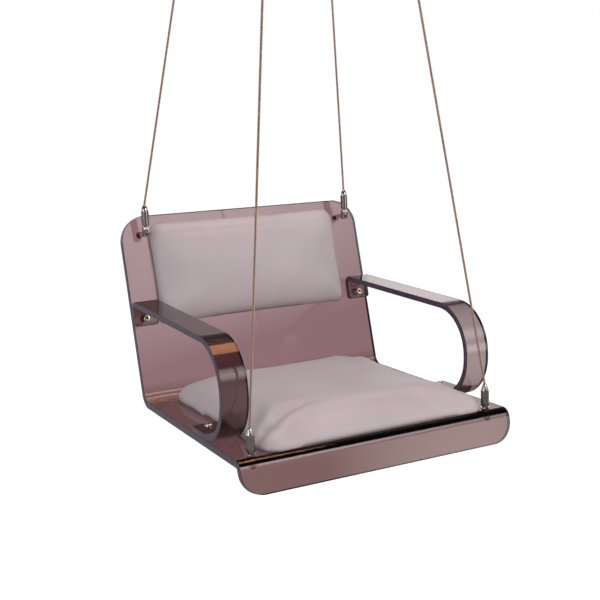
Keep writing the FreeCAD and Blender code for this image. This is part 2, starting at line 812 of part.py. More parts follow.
def make_cushions():
    seat_long, back_long = (CUSHION_SPANS[name][1] for name in CUSHION_SPANS)
    seat_middle = worth(f"seat_cushion_front + {seat_long} / 2")
    make_cushion("seat_cushion", placed(vector(0, seat_middle, 0)))
    up = worth(f"back_height - back_cushion_below_top - {back_long} / 2")
    make_cushion("back_cushion", back_place(-worth("back_cushion_shift"), up, 0))


# The whole seat
make_shell()
make_cushions()
for side in SIDES:
    make_armrest(side)
make_fasteners()
make_front_grippers()
make_rear_grippers()
make_cones()
for pair in PAIRS:
    for side in SIDES:
        make_rope(pair, side)
        make_eye(pair, side)
        make_fork(pair, side)
make_clevis_bolts()
doc.recompute()
for item in doc.Objects:
    if "Invalid" in item.State or "Error" in item.State:
        raise RuntimeError(f"{item.Label} failed: {item.State}")
for item in kept:
    if item.Shape.isNull() or not item.Shape.isValid() or not item.Shape.Solids:
        raise RuntimeError(f"{item.Label} has no valid shape")
for item in kept:
    item.Shape.exportStep(f"parts/{item.Label}.step")
for pair in PAIRS:
    pin, tip = pin_point(pair, "right"), tip_point(pair, "right")
    print(pair, "pin", [round(value, 3) for value in pin], "tip", [round(value, 3) for value in tip])
    print(pair, "rope length", (pin - tip).Length + worth(f"rope_in_mouth - ({EYE_MOUTH})"))
print("seat place", seat_place)
print(len(kept), "sub-parts")
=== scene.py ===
import bmesh
import bpy
import json
import math
from mathutils import Matrix, Vector, noise


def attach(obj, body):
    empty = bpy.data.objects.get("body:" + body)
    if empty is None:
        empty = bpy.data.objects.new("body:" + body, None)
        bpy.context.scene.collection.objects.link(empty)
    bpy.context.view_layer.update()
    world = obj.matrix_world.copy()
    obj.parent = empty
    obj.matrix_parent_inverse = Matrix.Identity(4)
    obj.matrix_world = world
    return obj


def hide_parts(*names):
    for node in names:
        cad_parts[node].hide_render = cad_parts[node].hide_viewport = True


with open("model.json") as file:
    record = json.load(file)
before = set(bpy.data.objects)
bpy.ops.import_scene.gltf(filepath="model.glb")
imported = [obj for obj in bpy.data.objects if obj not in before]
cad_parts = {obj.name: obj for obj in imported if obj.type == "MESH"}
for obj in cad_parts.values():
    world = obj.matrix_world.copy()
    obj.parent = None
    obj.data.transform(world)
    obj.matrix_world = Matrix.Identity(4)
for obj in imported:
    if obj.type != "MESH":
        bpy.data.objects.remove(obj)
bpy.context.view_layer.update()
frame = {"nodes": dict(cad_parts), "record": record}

# A hanging swing seat of tinted clear acrylic with two cushions on four wire ropes.
# All places below are in the seat's own frame, in millimetres: its origin is the
# front edge of the seat's top face, which is level in it. The seat hangs leaning
# back in the row frame. Names and values repeat those of the part's source.
MM = 0.001
SEAT_TILT = 4.0
SEAT_AT = (0.0, -162.262, -913.68)
SEAT_WIDTH = 600.0
SEAT_DEPTH = 508.0
SHEET_THICK = 15.0
BACK_HEIGHT = 411.0
RECLINE = math.radians(14.0)
LIP_HEIGHT = 66.0
LIP_FLARE = math.radians(13.0)
SHELL_BEND = 20.0
BACK_CORNER = 60.0
LIP_CORNER = 45.0
ARM_WIDTH = 55.0
ARM_THICK = 12.0
ARM_FRONT_Y = 64.0
ARM_FRONT_HEIGHT = 200.6
ARM_FRONT_FLAT = 8.0
ARM_SLOPE = math.radians(1.9)
ARM_FOOT_END_Y = 228.0
ARM_FLANGE = 60.0
ARM_BEND = 18.0
ARM_CORNER = 8.0
ARM_BACK_SCREW_DROP = 43.6
ARM_FOOT_SCREW_Y = 205.0
EDGE_ROUND = 1.2
SIDES = {"left": -1.0, "right": 1.0}

SEAT_PLACE = (
    Matrix.Translation(Vector(SEAT_AT) * MM)
    @ Matrix.Rotation(math.radians(-SEAT_TILT), 4, "X")
    @ Matrix.Scale(MM, 4)
)


def seat_point(x, y, z):
    """A point of the seat's frame, in millimetres, as a point of the row frame."""
    return SEAT_PLACE @ Vector((x, y, z))


# Camera, at the photograph's viewing angle
CAMERA_AT = (-983.3, -1608.8, 585.1)
CAMERA_RIGHT = Vector((0.887154, -0.459532, -0.042286))
CAMERA_UP = Vector((0.114442, 0.130312, 0.984846))
FOCAL_PIXELS = 1025.6
PHOTO_PIXELS = 600.0
SENSOR = 36.0


def make_camera():
    data = bpy.data.cameras.new("camera")
    data.sensor_fit = "HORIZONTAL"
    data.sensor_width = SENSOR
    data.lens = FOCAL_PIXELS * SENSOR / PHOTO_PIXELS
    camera = bpy.data.objects.new("camera", data)
    bpy.context.scene.collection.objects.link(camera)
    turn = SEAT_PLACE.to_quaternion()
    right, up = turn @ CAMERA_RIGHT, turn @ CAMERA_UP
    back = right.cross(up)
    axes = Matrix((right, up, back)).transposed().to_4x4()
    camera.matrix_world = Matrix.Translation(seat_point(*CAMERA_AT)) @ axes
    bpy.context.scene.camera = camera


# Materials
# The heights in the row frame, in metres, between which the lip's painted shade fades out
LIP_LEVELS = (-0.936, -0.916)
WHITE = (1.0, 1.0, 1.0)
ACRYLIC_INDEX = 1.49
HAZE_SCALE = 9.0
HAZE_ROUGH = (0.0, 0.03)
COVER_COLOURS = ((0.475, 0.400, 0.418), (0.515, 0.436, 0.452))
COVER_ROUGH = (0.42, 0.52)
COVER_PATCH_SCALE = 9.0
COVER_SLACK_SCALE = 22.0
COVER_PORE_SCALE = 700.0
COVER_GLOSS = 0.45
COVER_SHEEN = 0.08
# Painted shade for the sheets' cut edges: near-black colours in place of the clear edge's darkness
CUT_SHADE_COLOURS = ((0.052, 0.035, 0.059), (0.088, 0.06, 0.098))
CUT_ROUGH = (0.16, 0.3)
CUT_SCALE = 40.0
CUT_STRETCH = (1.0, 1.0, 6.0)
CUT_GLOSS = 0.22
STEEL_SCALE = 300.0
PLAIN_ROUGH_SPREAD = 0.1
# A bump's strength and its depth in metres
SLACK_BUMP = (0.5, 0.0012)
PORE_BUMP = (0.25, 0.0002)
PLAIN_BUMP = (0.3, 0.0003)


def new_material(name):
    material = bpy.data.materials.new(name)
    material.use_nodes = True
    shader = material.node_tree.nodes["Principled BSDF"]
    return material, material.node_tree, shader


def add(tree, kind, **values):
    """A new node, with values for its sockets or, in small letters, its settings."""
    node = tree.nodes.new(kind)
    for key, value in values.items():
        if key in node.inputs:
            node.inputs[key].default_value = value
        else:
            setattr(node, key.lower(), value)
    return node


def noise_field(tree, scale, detail=3.0, stretch=(1.0, 1.0, 1.0)):
    """Noise over the piece's own coordinates, which are the row frame's."""
    place = add(tree, "ShaderNodeTexCoord")
    mapping = add(tree, "ShaderNodeMapping")
    mapping.inputs["Scale"].default_value = stretch
    field = add(tree, "ShaderNodeTexNoise", Scale=scale, Detail=detail)
    tree.links.new(place.outputs["Object"], mapping.inputs["Vector"])
    tree.links.new(mapping.outputs["Vector"], field.inputs["Vector"])
    return field


def spread_to(tree, source, socket, low, high):
    """The source's 0 to 1 led to a socket as low to high."""
    spread = add(tree, "ShaderNodeMapRange")
    spread.inputs["To Min"].default_value = low
    spread.inputs["To Max"].default_value = high
    tree.links.new(source, spread.inputs["Value"])
    tree.links.new(spread.outputs["Result"], socket)


def ramp_to(tree, source, socket, low, high, start=0.35, end=0.65):
    """The source led to a socket as the low colour up to its start, high from its end."""
    ramp = add(tree, "ShaderNodeValToRGB")
    ramp.color_ramp.elements[0].position = start
    ramp.color_ramp.elements[0].color = (*low, 1.0)
    ramp.color_ramp.elements[1].position = end
    ramp.color_ramp.elements[1].color = (*high, 1.0)
    tree.links.new(source, ramp.inputs["Fac"])
    tree.links.new(ramp.outputs["Color"], socket)


def bump_from(tree, source, shader, strength, distance):
    """The source as a bump on the normal of a shader or of another bump."""
    bump = add(tree, "ShaderNodeBump", Strength=strength, Distance=distance)
    tree.links.new(source, bump.inputs["Height"])
    tree.links.new(bump.outputs["Normal"], shader.inputs["Normal"])


def acrylic(name, tint, density, lip_shade_tint=None):
    """Clear sheet, whose colour comes from its thickness, with a faint polish haze.

    A painted shade browns and darkens it below the seat's front edge, on the lip.
    """
    material, tree, shader = new_material(name)
    shader.inputs["Base Color"].default_value = (*WHITE, 1.0)
    if lip_shade_tint:
        place = add(tree, "ShaderNodeTexCoord")
        parts = add(tree, "ShaderNodeSeparateXYZ")
        level = add(tree, "ShaderNodeMapRange")
        for key, value in (("From Min", LIP_LEVELS[0]), ("From Max", LIP_LEVELS[1])):
            level.inputs[key].default_value = value
        tree.links.new(place.outputs["Object"], parts.inputs["Vector"])
        tree.links.new(parts.outputs["Z"], level.inputs["Value"])
        ramp_to(
            tree, level.outputs["Result"], shader.inputs["Base Color"],
            lip_shade_tint, WHITE, 0.0, 1.0,
        )
    shader.inputs["Transmission Weight"].default_value = 1.0
    shader.inputs["IOR"].default_value = ACRYLIC_INDEX
    haze = noise_field(tree, HAZE_SCALE)
    spread_to(tree, haze.outputs["Fac"], shader.inputs["Roughness"], *HAZE_ROUGH)
    volume = add(tree, "ShaderNodeVolumeAbsorption", Color=(*tint, 1.0), Density=density)
    tree.links.new(volume.outputs["Volume"], tree.nodes["Material Output"].inputs["Volume"])
    return material


def steel(name, dark, light, rough_low, rough_high, scale=STEEL_SCALE):
    """Bare metal between two shades and two values of roughness, spread by its grain."""
    material, tree, shader = new_material(name)
    shader.inputs["Metallic"].default_value = 1.0
    field = noise_field(tree, scale)
    ramp_to(tree, field.outputs["Fac"], shader.inputs["Base Color"], dark, light)
    spread_to(tree, field.outputs["Fac"], shader.inputs["Roughness"], rough_low, rough_high)
    return material


def leatherette():
    """The cushions' cover: pores on a slightly slack skin."""
    material, tree, shader = new_material("leatherette")
    broad = noise_field(tree, COVER_PATCH_SCALE)
    ramp_to(tree, broad.outputs["Fac"], shader.inputs["Base Color"], *COVER_COLOURS)
    spread_to(tree, broad.outputs["Fac"], shader.inputs["Roughness"], *COVER_ROUGH)
    grain = add(tree, "ShaderNodeTexVoronoi", Scale=COVER_PORE_SCALE)
    place = add(tree, "ShaderNodeTexCoord")
    tree.links.new(place.outputs["Object"], grain.inputs["Vector"])
    bump_from(tree, grain.outputs["Distance"], shader, *PORE_BUMP)
    pores = shader.inputs["Normal"].links[0].from_node
    skin = noise_field(tree, COVER_SLACK_SCALE, 2.0)
    bump_from(tree, skin.outputs["Fac"], pores, *SLACK_BUMP)
    shader.inputs["Specular IOR Level"].default_value = COVER_GLOSS
    shader.inputs["Sheen Weight"].default_value = COVER_SHEEN
    return material


def cut_edge_shade():
    """The sheet's sawn and flame-polished edge, as painted shade: a dark opaque colour stands in for
    the darkness the clear edge shows, because light piles up in it.
    """
    material, tree, shader = new_material("cut_edge_shade")
    field = noise_field(tree, CUT_SCALE, 4.0, CUT_STRETCH)
    ramp_to(tree, field.outputs["Fac"], shader.inputs["Base Color"], *CUT_SHADE_COLOURS)
    spread_to(tree, field.outputs["Fac"], shader.inputs["Roughness"], *CUT_ROUGH)
    shader.inputs["Specular IOR Level"].default_value = CUT_GLOSS
    return material


def plain(name, dark, light, rough, scale, stretch=(1.0, 1.0, 1.0)):
    """A dull stuff whose grain also stands out a little."""
    material, tree, shader = new_material(name)
    field = noise_field(tree, scale, 4.0, stretch)
    ramp_to(tree, field.outputs["Fac"], shader.inputs["Base Color"], dark, light)
    highest = rough + PLAIN_ROUGH_SPREAD
    spread_to(tree, field.outputs["Fac"], shader.inputs["Roughness"], rough, highest)
    bump_from(tree, field.outputs["Fac"], shader, *PLAIN_BUMP)
    return material


# Acrylics have a tint, a density and maybe a tint of painted shade for the lip. Steels have a dark
# and a light shade, a least and a most roughness and maybe a scale. Plain stuffs have two shades,
# a roughness, a scale and maybe a stretch.
ACRYLIC = acrylic("tinted_acrylic", (0.43, 0.19, 0.23), 150.0, (0.735, 0.715, 0.63))
# One acrylic for both arms, painted darker on the left as shade and lighter on the right as light.
LIT_AND_SHADED_ARM_ACRYLICS = {
    "left": acrylic("left_arm_acrylic_shaded", (0.42, 0.22, 0.22), 185.0),
    "right": acrylic("right_arm_acrylic_lit", (0.44, 0.30, 0.31), 150.0),
}
CUT_EDGE_SHADE = cut_edge_shade()
POLISHED = steel("polished_steel", (0.70, 0.64, 0.57), (0.80, 0.75, 0.68), 0.1, 0.2)
# Barrels and rear screw heads are painted dark: painted shade in place of the dark surroundings their
# polished steel reflects.
SHADED_BARREL = steel("turned_barrel_shaded", (0.17, 0.135, 0.135), (0.31, 0.255, 0.255), 0.09, 0.16, 500.0)
SATIN = steel("satin_steel", (0.52, 0.51, 0.50), (0.62, 0.61, 0.60), 0.26, 0.36)
FASTENER = steel("fastener_steel", (0.74, 0.63, 0.52), (0.90, 0.80, 0.69), 0.12, 0.22)
# The welts' dark brown is partly painted shade along the pads' foot.
PIPING_SHADE = plain("piping", (0.16, 0.115, 0.10), (0.24, 0.18, 0.16), 0.5, 500.0)
WIRE = steel("wire_steel", (0.44, 0.275, 0.22), (0.93, 0.69, 0.58), 0.26, 0.38, 800.0)
# Painted shade: the near-black core darkens the grooves between the strands.
WIRE_CORE_SHADE = steel("wire_core_shade", (0.05, 0.03, 0.025), (0.12, 0.08, 0.06), 0.5, 0.6, 800.0)
# Painted shade inside the screws' hex sockets.
SOCKET_SHADE = steel("socket_shade", (0.03, 0.025, 0.02), (0.07, 0.055, 0.045), 0.4, 0.5)
LEATHERETTE = leatherette()
PLYWOOD = plain("plywood", (0.36, 0.24, 0.13), (0.55, 0.40, 0.25), 0.6, 14.0, (1.0, 12.0, 40.0))
LOOPS = plain("hook_and_loop", (0.05, 0.045, 0.045), (0.11, 0.1, 0.1), 0.85, 1400.0)
SLOT_MATERIALS = {
    "tinted_acrylic": ACRYLIC,
    "clear_acrylic": LIT_AND_SHADED_ARM_ACRYLICS["left"],
    "cushion_cover": LEATHERETTE,
    "plywood": PLYWOOD,
    "hook_and_loop": LOOPS,
    "wire_rope": WIRE,
    "polished_steel": POLISHED,
    "satin_steel": SATIN,
    "fastener_steel": FASTENER,
}
SLOTS = {piece["node"]: piece["material_slot"] for piece in frame["record"]["subparts"]}


def dress_nodes():
    """Every carried-over node gets the material of its slot."""
    for name, node in frame["nodes"].items():
        node.data.materials.clear()
        node.data.materials.append(SLOT_MATERIALS[SLOTS[name]])


# Pieces
SAME_PLACE = 1e-6
SHARP_DEGREES = 30.0
SHEET_SHARP_DEGREES = 50.0


def new_piece(name, mesh, material, body, replaces=()):
    """A mesh in the row frame as a piece that rides on a body."""
    piece = bpy.data.objects.new(name, mesh)
    bpy.context.scene.collection.objects.link(piece)
    mesh.materials.append(material)
    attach(piece, body)
    if replaces:
        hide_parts(*replaces)
    return piece


def mesh_of(name, points, faces, second=()):
    """A closed smooth mesh, faces outward; the second faces take the second material."""
    mesh = bpy.data.meshes.new(name)
    mesh.from_pydata([tuple(point) for point in points], [], faces)
    for index in second:
        mesh.polygons[index].material_index = 1
    builder = bmesh.new()
    builder.from_mesh(mesh)
    bmesh.ops.dissolve_degenerate(builder, edges=builder.edges, dist=SAME_PLACE)
    bmesh.ops.recalc_face_normals(builder, faces=builder.faces)
    builder.to_mesh(mesh)
    builder.free()
    for face in mesh.polygons:
        face.use_smooth = True
    return mesh


def shade_by_angle(mesh, degrees=SHARP_DEGREES):
    """Smooth shading, with edges sharper than the angle left sharp."""
    mesh.shade_smooth()
    mesh.set_sharp_from_angle(angle=math.radians(degrees))


# Bent sheets: the side view of one face of the sheet, as corners with a bend radius
BEND_STEP = math.radians(4.0)
CORNER_STEPS = 10
RUN_DIGITS = 6
# Narrow strips beside each rounding, which keep the wide faces flat in their shading
FLAT_RIM = 0.5
# The levels between which a sheet's faces take the cut edge's painted shade
CUT_LEVELS = (1, 8)


def rounded_path(corners, radii):
    """Stations (y, z, heading, run) along lines that are joined by arcs."""
    stations = []
    run = 0.0
    count = len(corners)
    trims = [0.0] * count
    turns = [0.0] * count
    headings = []
    for a, b in zip(corners, corners[1:]):
        headings.append(math.atan2(b[1] - a[1], b[0] - a[0]))
    for i in range(1, count - 1):
        turns[i] = (headings[i] - headings[i - 1] + math.pi) % math.tau - math.pi
        trims[i] = radii[i] * math.tan(abs(turns[i]) / 2)
    for i in range(count - 1):
        a, b = corners[i], corners[i + 1]
        length = math.hypot(b[0] - a[0], b[1] - a[1]) - trims[i] - trims[i + 1]
        way = (math.cos(headings[i]), math.sin(headings[i]))
        start = (a[0] + way[0] * trims[i], a[1] + way[1] * trims[i])
        stations.append((start[0], start[1], headings[i], run))
        run += length
        end = (start[0] + way[0] * length, start[1] + way[1] * length)
        stations.append((end[0], end[1], headings[i], run))
        if i + 1 < count - 1:
            turn = turns[i + 1]
            radius = radii[i + 1]
            side = 1.0 if turn > 0 else -1.0
            middle = (
                end[0] - side * radius * math.sin(headings[i]),
                end[1] + side * radius * math.cos(headings[i]),
            )
            steps = max(2, round(abs(turn) / BEND_STEP))
            for k in range(1, steps):
                heading = headings[i] + turn * k / steps
                y = middle[0] + side * radius * math.sin(heading)
                z = middle[1] - side * radius * math.cos(heading)
                stations.append((y, z, heading, run + radius * abs(turn) * k / steps))
            run += radius * abs(turn)
    return stations, run


def station_at(stations, run):
    """The station at a run along the path, between its neighbours."""
    for a, b in zip(stations, stations[1:]):
        if a[3] <= run <= b[3] and b[3] > a[3]:
            share = (run - a[3]) / (b[3] - a[3])
            return tuple(u + (v - u) * share for u, v in zip(a, b))
    return stations[-1] if run > stations[0][3] else stations[0]


def bent_sheet(name, corners, radii, wide, thick, start_corner, end_corner, place):
    """A closed sheet with rounded corners and softly rounded edges, as a mesh."""
    stations, total = rounded_path(corners, radii)
    runs = {station[3] for station in stations}
    for a, b in zip(stations, stations[1:]):
        if b[2] == a[2] and b[3] - a[3] > 4 * FLAT_RIM:
            runs.update((a[3] + FLAT_RIM, b[3] - FLAT_RIM))
    for k in range(CORNER_STEPS + 1):
        gone = 1 - math.cos(math.pi / 2 * k / CORNER_STEPS)
        runs.update((start_corner * gone, total - end_corner * gone))
    runs = sorted({round(run, RUN_DIGITS) for run in runs})

    def half_at(run, inset):
        half = wide / 2
        for gone, corner in ((run, start_corner), (total - run, end_corner)):
            if gone < corner:
                half -= corner - math.sqrt(max(0.0, corner ** 2 - (corner - gone) ** 2))
        return half - inset

    def level(inset, deep):
        """Left and right points of every station at one depth in the sheet."""
        rows = []
        for run in runs:
            inner = min(max(run, inset), total - inset)
            y, z, heading = station_at(stations, inner)[:3]
            y += deep * math.sin(heading)
            z -= deep * math.cos(heading)
            half = half_at(run, inset)
            rows.append((place @ Vector((-half, y, z)), place @ Vector((half, y, z))))
        return rows

    soft = EDGE_ROUND * (1 - math.sqrt(0.5))
    levels = [
        level(EDGE_ROUND + FLAT_RIM, 0.0),
        level(EDGE_ROUND, 0.0),
        level(soft, soft),
        level(0.0, EDGE_ROUND),
        level(0.0, EDGE_ROUND + FLAT_RIM),
        level(0.0, thick - EDGE_ROUND - FLAT_RIM),
        level(0.0, thick - EDGE_ROUND),
        level(soft, thick - soft),
        level(EDGE_ROUND, thick),
        level(EDGE_ROUND + FLAT_RIM, thick),
    ]
    points = [point for rows in levels for pair in rows for point in pair]
    size = 2 * len(runs)
    last = len(runs) - 1

    def spot(depth, row, side):
        return depth * size + 2 * row + side

    faces = []
    for depth in (0, len(levels) - 1):
        for row in range(last):
            faces.append([
                spot(depth, row, 0), spot(depth, row, 1),
                spot(depth, row + 1, 1), spot(depth, row + 1, 0),
            ])
    # Faces between the cut levels take the edge's painted shade.
    cut = []
    for depth in range(len(levels) - 1):
        if depth in CUT_LEVELS:
            cut.append(len(faces))
        for side in (0, 1):
            for row in range(last):
                faces.append([
                    spot(depth, row, side), spot(depth, row + 1, side),
                    spot(depth + 1, row + 1, side), spot(depth + 1, row, side),
                ])
        for row in (0, last):
            faces.append([
                spot(depth, row, 0), spot(depth, row, 1),
                spot(depth + 1, row, 1), spot(depth + 1, row, 0),
            ])
    mesh = mesh_of(name, points, faces, second=range(*cut))
    shade_by_angle(mesh, SHEET_SHARP_DEGREES)
    return mesh


def make_shell():
    """The one sheet: lip, seat and back."""
    foot = (-LIP_HEIGHT * math.sin(LIP_FLARE), -LIP_HEIGHT * math.cos(LIP_FLARE))
    top = (SEAT_DEPTH + BACK_HEIGHT * math.sin(RECLINE), BACK_HEIGHT * math.cos(RECLINE))
    corners = [foot, (0.0, 0.0), (SEAT_DEPTH, 0.0), top]
    mesh = bent_sheet(
        "acrylic_shell", corners, [0.0, SHELL_BEND, SHELL_BEND, 0.0],
        SEAT_WIDTH, SHEET_THICK, LIP_CORNER, BACK_CORNER, SEAT_PLACE,
    )
    new_piece("acrylic_shell", mesh, ACRYLIC, "seat", ["seat_shell"])
    mesh.materials.append(CUT_EDGE_SHADE)


def arm_corners():
    """An armrest's side view, from its foot round the front to the end of its flange."""
    fall = 1 - math.tan(RECLINE) * math.tan(ARM_SLOPE)
    top_z = (ARM_FRONT_HEIGHT + (SEAT_DEPTH - ARM_FRONT_Y) * math.tan(ARM_SLOPE)) / fall
    top_y = SEAT_DEPTH + top_z * math.tan(RECLINE)
    end = (top_y - ARM_FLANGE * math.sin(RECLINE), top_z - ARM_FLANGE * math.cos(RECLINE))
    return [
        (ARM_FOOT_END_Y, 0.0), (ARM_FRONT_Y, 0.0), (ARM_FRONT_Y, ARM_FRONT_HEIGHT),
        (top_y, top_z), end,
    ]


def make_arms():
    loop = (ARM_FRONT_HEIGHT - ARM_FRONT_FLAT) / (1 + 1 / math.tan(math.pi / 4 + ARM_SLOPE / 2))
    for side, sign in SIDES.items():
        middle = sign * (SEAT_WIDTH - ARM_WIDTH) / 2
        place = SEAT_PLACE @ Matrix.Translation((middle, 0.0, 0.0))
        mesh = bent_sheet(
            f"{side}_acrylic_arm", arm_corners(), [0.0, loop, loop, ARM_BEND, 0.0],
            ARM_WIDTH, ARM_THICK, ARM_CORNER, ARM_CORNER, place,
        )
        new_piece(
            f"{side}_acrylic_arm", mesh, LIT_AND_SHADED_ARM_ACRYLICS[side], "seat",
            [f"{side}_armrest"],
        )
        mesh.materials.append(CUT_EDGE_SHADE)


# Ropes
ROPE_RADIUS = 2.5
STRANDS = 6
STRAND_RADIUS = 0.68
CORE_CLEAR = 1.2 * STRAND_RADIUS
STRAND_PITCH = 30.0
STRAND_STEP = 2.2
STRAND_SIDES = 6
ROPE_ENDS = {
    "front": ((263.0, -129.844, -865.825), (155.556, 0.0, -28.0)),
    "rear": ((253.0, 429.202, -528.98), (179.05, 358.698, -28.0)),
}
ROPE_IN_MOUTH = 1.5
EYE_MOUTH = 57.2
LEAD = 30.0
ROUTE_ORDER = 3
ROUTE_STEPS = 24


def rope_route(pair, sign):
    """The straight run's points, in metres in the row frame, from its cone upwards."""
    tip, pin = (Vector((sign * p[0], p[1], p[2])) for p in ROPE_ENDS[pair])
    along = (pin - tip).normalized()
    start = tip - along * ROPE_IN_MOUTH
    end = pin - along * EYE_MOUTH
    return [MM * p for p in (start, start + along * LEAD, end - along * LEAD, end)]


def spline_line(name, route):
    """The route's own spline as points."""
    data = bpy.data.curves.new(name, "CURVE")
    data.dimensions = "3D"
    spline = data.splines.new("NURBS")
    spline.points.add(len(route) - 1)
    for point, place in zip(spline.points, route):
        point.co = (*place, 1.0)
    spline.order_u = ROUTE_ORDER
    spline.use_endpoint_u = True
    data.resolution_u = ROUTE_STEPS
    holder = bpy.data.objects.new(name, data)
    bpy.context.scene.collection.objects.link(holder)
    bpy.context.view_layer.update()
    line = bpy.data.meshes.new_from_object(holder)
    points = [vertex.co.copy() for vertex in line.vertices]
    bpy.data.objects.remove(holder)
    bpy.data.meshes.remove(line)
    bpy.data.curves.remove(data)
    return points


def strand_mesh(name, line):
    """Six wire strands wound around a straight core, and the core itself, painted near black as the
    shade in the grooves between the strands.
    """
    start, end = line[0], line[-1]
    along = (end - start).normalized()
    across = along.orthogonal().normalized()
    beside = along.cross(across)
    long = (end - start).length
    rings = max(2, round(long / (STRAND_STEP * MM)))
    points, faces = [], []

    def tube(centres, radius, sides):
        first = len(points)
        for centre in centres:
            for k in range(sides):
                angle = math.tau * k / sides
                points.append(centre + radius * (math.cos(angle) * across + math.sin(angle) * beside))
        for row in range(len(centres) - 1):
            for k in range(sides):
                a = first + row * sides + k
                b = first + row * sides + (k + 1) % sides
                faces.append([a, b, b + sides, a + sides])
        faces.append([first + k for k in range(sides)])
        faces.append([first + (len(centres) - 1) * sides + k for k in range(sides)])

    lift = (ROPE_RADIUS - STRAND_RADIUS) * MM
    for strand in range(STRANDS):
        centres = []
        for row in range(rings + 1):
            gone = long * row / rings
            angle = math.tau * (strand / STRANDS + gone / (STRAND_PITCH * MM))
            turned = math.cos(angle) * across + math.sin(angle) * beside
            centres.append(start + along * gone + turned * lift)
        tube(centres, STRAND_RADIUS * MM, STRAND_SIDES)
    core = len(faces)
    tube([start, end], (ROPE_RADIUS - CORE_CLEAR) * MM, STRAND_SIDES)
    return mesh_of(name, points, faces, second=range(core, len(faces)))


def make_ropes():
    for pair in ROPE_ENDS:
        for side, sign in SIDES.items():
            name = f"{pair}_{side}_wire_rope"
            line = spline_line(name, rope_route(pair, sign))
            body = f"{pair}_ropes"
            rope = new_piece(
                name, strand_mesh(name, line), WIRE, body,
                [f"{pair}_{side}_rope"],
            )
            rope.data.materials.append(WIRE_CORE_SHADE)


# Turned and hexagonal fittings. A level is a radius, a height and a share of hexagon.
TURNED_SIDES = 48
# The level of a screw from which on its socket takes painted shade, and a level that none reaches
SOCKET_LEVEL = 8
NO_SOCKET = 99
HEX_TURN = math.pi / 3
GRIPPER_RADIUS = 8.2
GRIPPER_BARREL = 32.0
NECK_RADIUS = 6.0
NECK_HIGH = 3.0
BLOCK_HIGH = 20.0
BLOCK_HALF_DEEP = 6.5
BLOCK_NECK_RADIUS = 4.2
BLOCK_NECK_HIGH = 4.0
BLOCK_CHAMFER = 0.7
# A barrel's side view: how far in from its radius, and how far from its foot or top
BARREL_FOOT = ((0.8, 0.0), (0.0, 0.8), (0.0, 3.2), (0.8, 3.5), (0.8, 4.5), (0.0, 4.8))
BARREL_TOP = ((0.0, 1.0), (0.9, 0.2), (0.9, 0.0))
CONE_BASE = 7.8
CONE_HIGH = 13.0
CONE_TIP = 3.7
CONE_CHAMFER = 0.5
CONE_LIP = 0.4
CONE_STEPS = 8
CONE_BULGES = {"front": 1.15, "rear": 1.9}
MOUTH_RADIUS = 3.1
MOUTH_DEEP = 2.4
COLLAR_THICK = 2.0
SHANK_RADIUS = 3.9
FRONT_STUD = (263.0, 29.0)
REAR_STUD = (253.0, 368.5)
REAR_BLOCK_OFF = 35.0
FLIP = Matrix.Rotation(math.pi, 4, "X")
CAP_NUT = [
    (8.2, 0.0), (8.6, 0.3), (8.6, 1.3), (8.2, 1.6), (6.5, 1.6, 1.0), (6.5, 7.0, 1.0),
    (6.4, 7.8), (5.9, 8.2), (5.7, 9.4), (4.7, 10.8), (3.0, 11.7), (1.0, 12.0),
]
COLLAR = [(8.7, 0.0), (9.0, 0.3), (9.0, 1.5), (8.5, 2.0)]
ARM_SCREW = [
    (SHANK_RADIUS, -36.0), (SHANK_RADIUS, 0.0), (7.7, 0.0), (8.0, 0.4), (8.0, 2.4),
    (7.5, 3.8), (6.4, 4.7), (5.2, 5.0), (2.9, 5.0, 1.0), (2.7, 2.2, 1.0),
]
REAR_SCREW = [
    (SHANK_RADIUS, -62.0), (SHANK_RADIUS, 0.0), (5.7, 0.0), (6.0, 0.3), (6.0, 1.9),
    (5.6, 3.0), (4.8, 3.8), (4.2, 4.0), (2.5, 4.0, 1.0), (2.3, 1.8, 1.0),
]


def back_place(x, up, off):
    """A place on the back, up it and in front of it. Its Z points forward."""
    y = SEAT_DEPTH + up * math.sin(RECLINE) - off * math.cos(RECLINE)
    z = up * math.cos(RECLINE) + off * math.sin(RECLINE)
    return Matrix.Translation((x, y, z)) @ Matrix.Rotation(math.pi / 2 - RECLINE, 4, "X")


def turned(builder, place, levels, socket=NO_SOCKET):
    """Adds a closed body along the place's Z; from the socket's level on it takes painted shade."""
    rings = []
    for radius, height, *share in levels:
        ring = []
        for k in range(TURNED_SIDES):
            angle = math.tau * k / TURNED_SIDES
            off = (angle + HEX_TURN / 2) % HEX_TURN - HEX_TURN / 2
            reach = radius * (1 + sum(share) * (1 / math.cos(off) - 1))
            spot = Vector((reach * math.cos(angle), reach * math.sin(angle), height))
            ring.append(builder.verts.new(place @ spot))
        rings.append(ring)
    for row, (low, high) in enumerate(zip(rings, rings[1:])):
        for k in range(TURNED_SIDES):
            after = (k + 1) % TURNED_SIDES
            face = builder.faces.new((low[k], low[after], high[after], high[k]))
            face.material_index = int(row >= socket)
    builder.faces.new(rings[0])
    builder.faces.new(rings[-1]).material_index = int(len(rings) > socket)


def new_fitting(name, node, material, shapes, more=(), socket=NO_SOCKET):
    """One piece for every copy of a fitting, from turned shapes and finished meshes."""
    builder = bmesh.new()
    for place, levels in shapes:
        turned(builder, place, levels, socket)
    for part in more:
        builder.from_mesh(part)
    bmesh.ops.recalc_face_normals(builder, faces=builder.faces)
    mesh = bpy.data.meshes.new(name)
    builder.to_mesh(mesh)
    builder.free()
    shade_by_angle(mesh)
    new_piece(name, mesh, material, "seat", [node])
    mesh.materials.append(SOCKET_SHADE)


def barrel(low):
    """A gripper's barrel from its foot's height: chamfered ends and one ring groove."""
    top = low + GRIPPER_BARREL
    levels = [(GRIPPER_RADIUS - inward, low + up) for inward, up in BARREL_FOOT]
    return levels + [(GRIPPER_RADIUS - inward, top - down) for inward, down in BARREL_TOP]


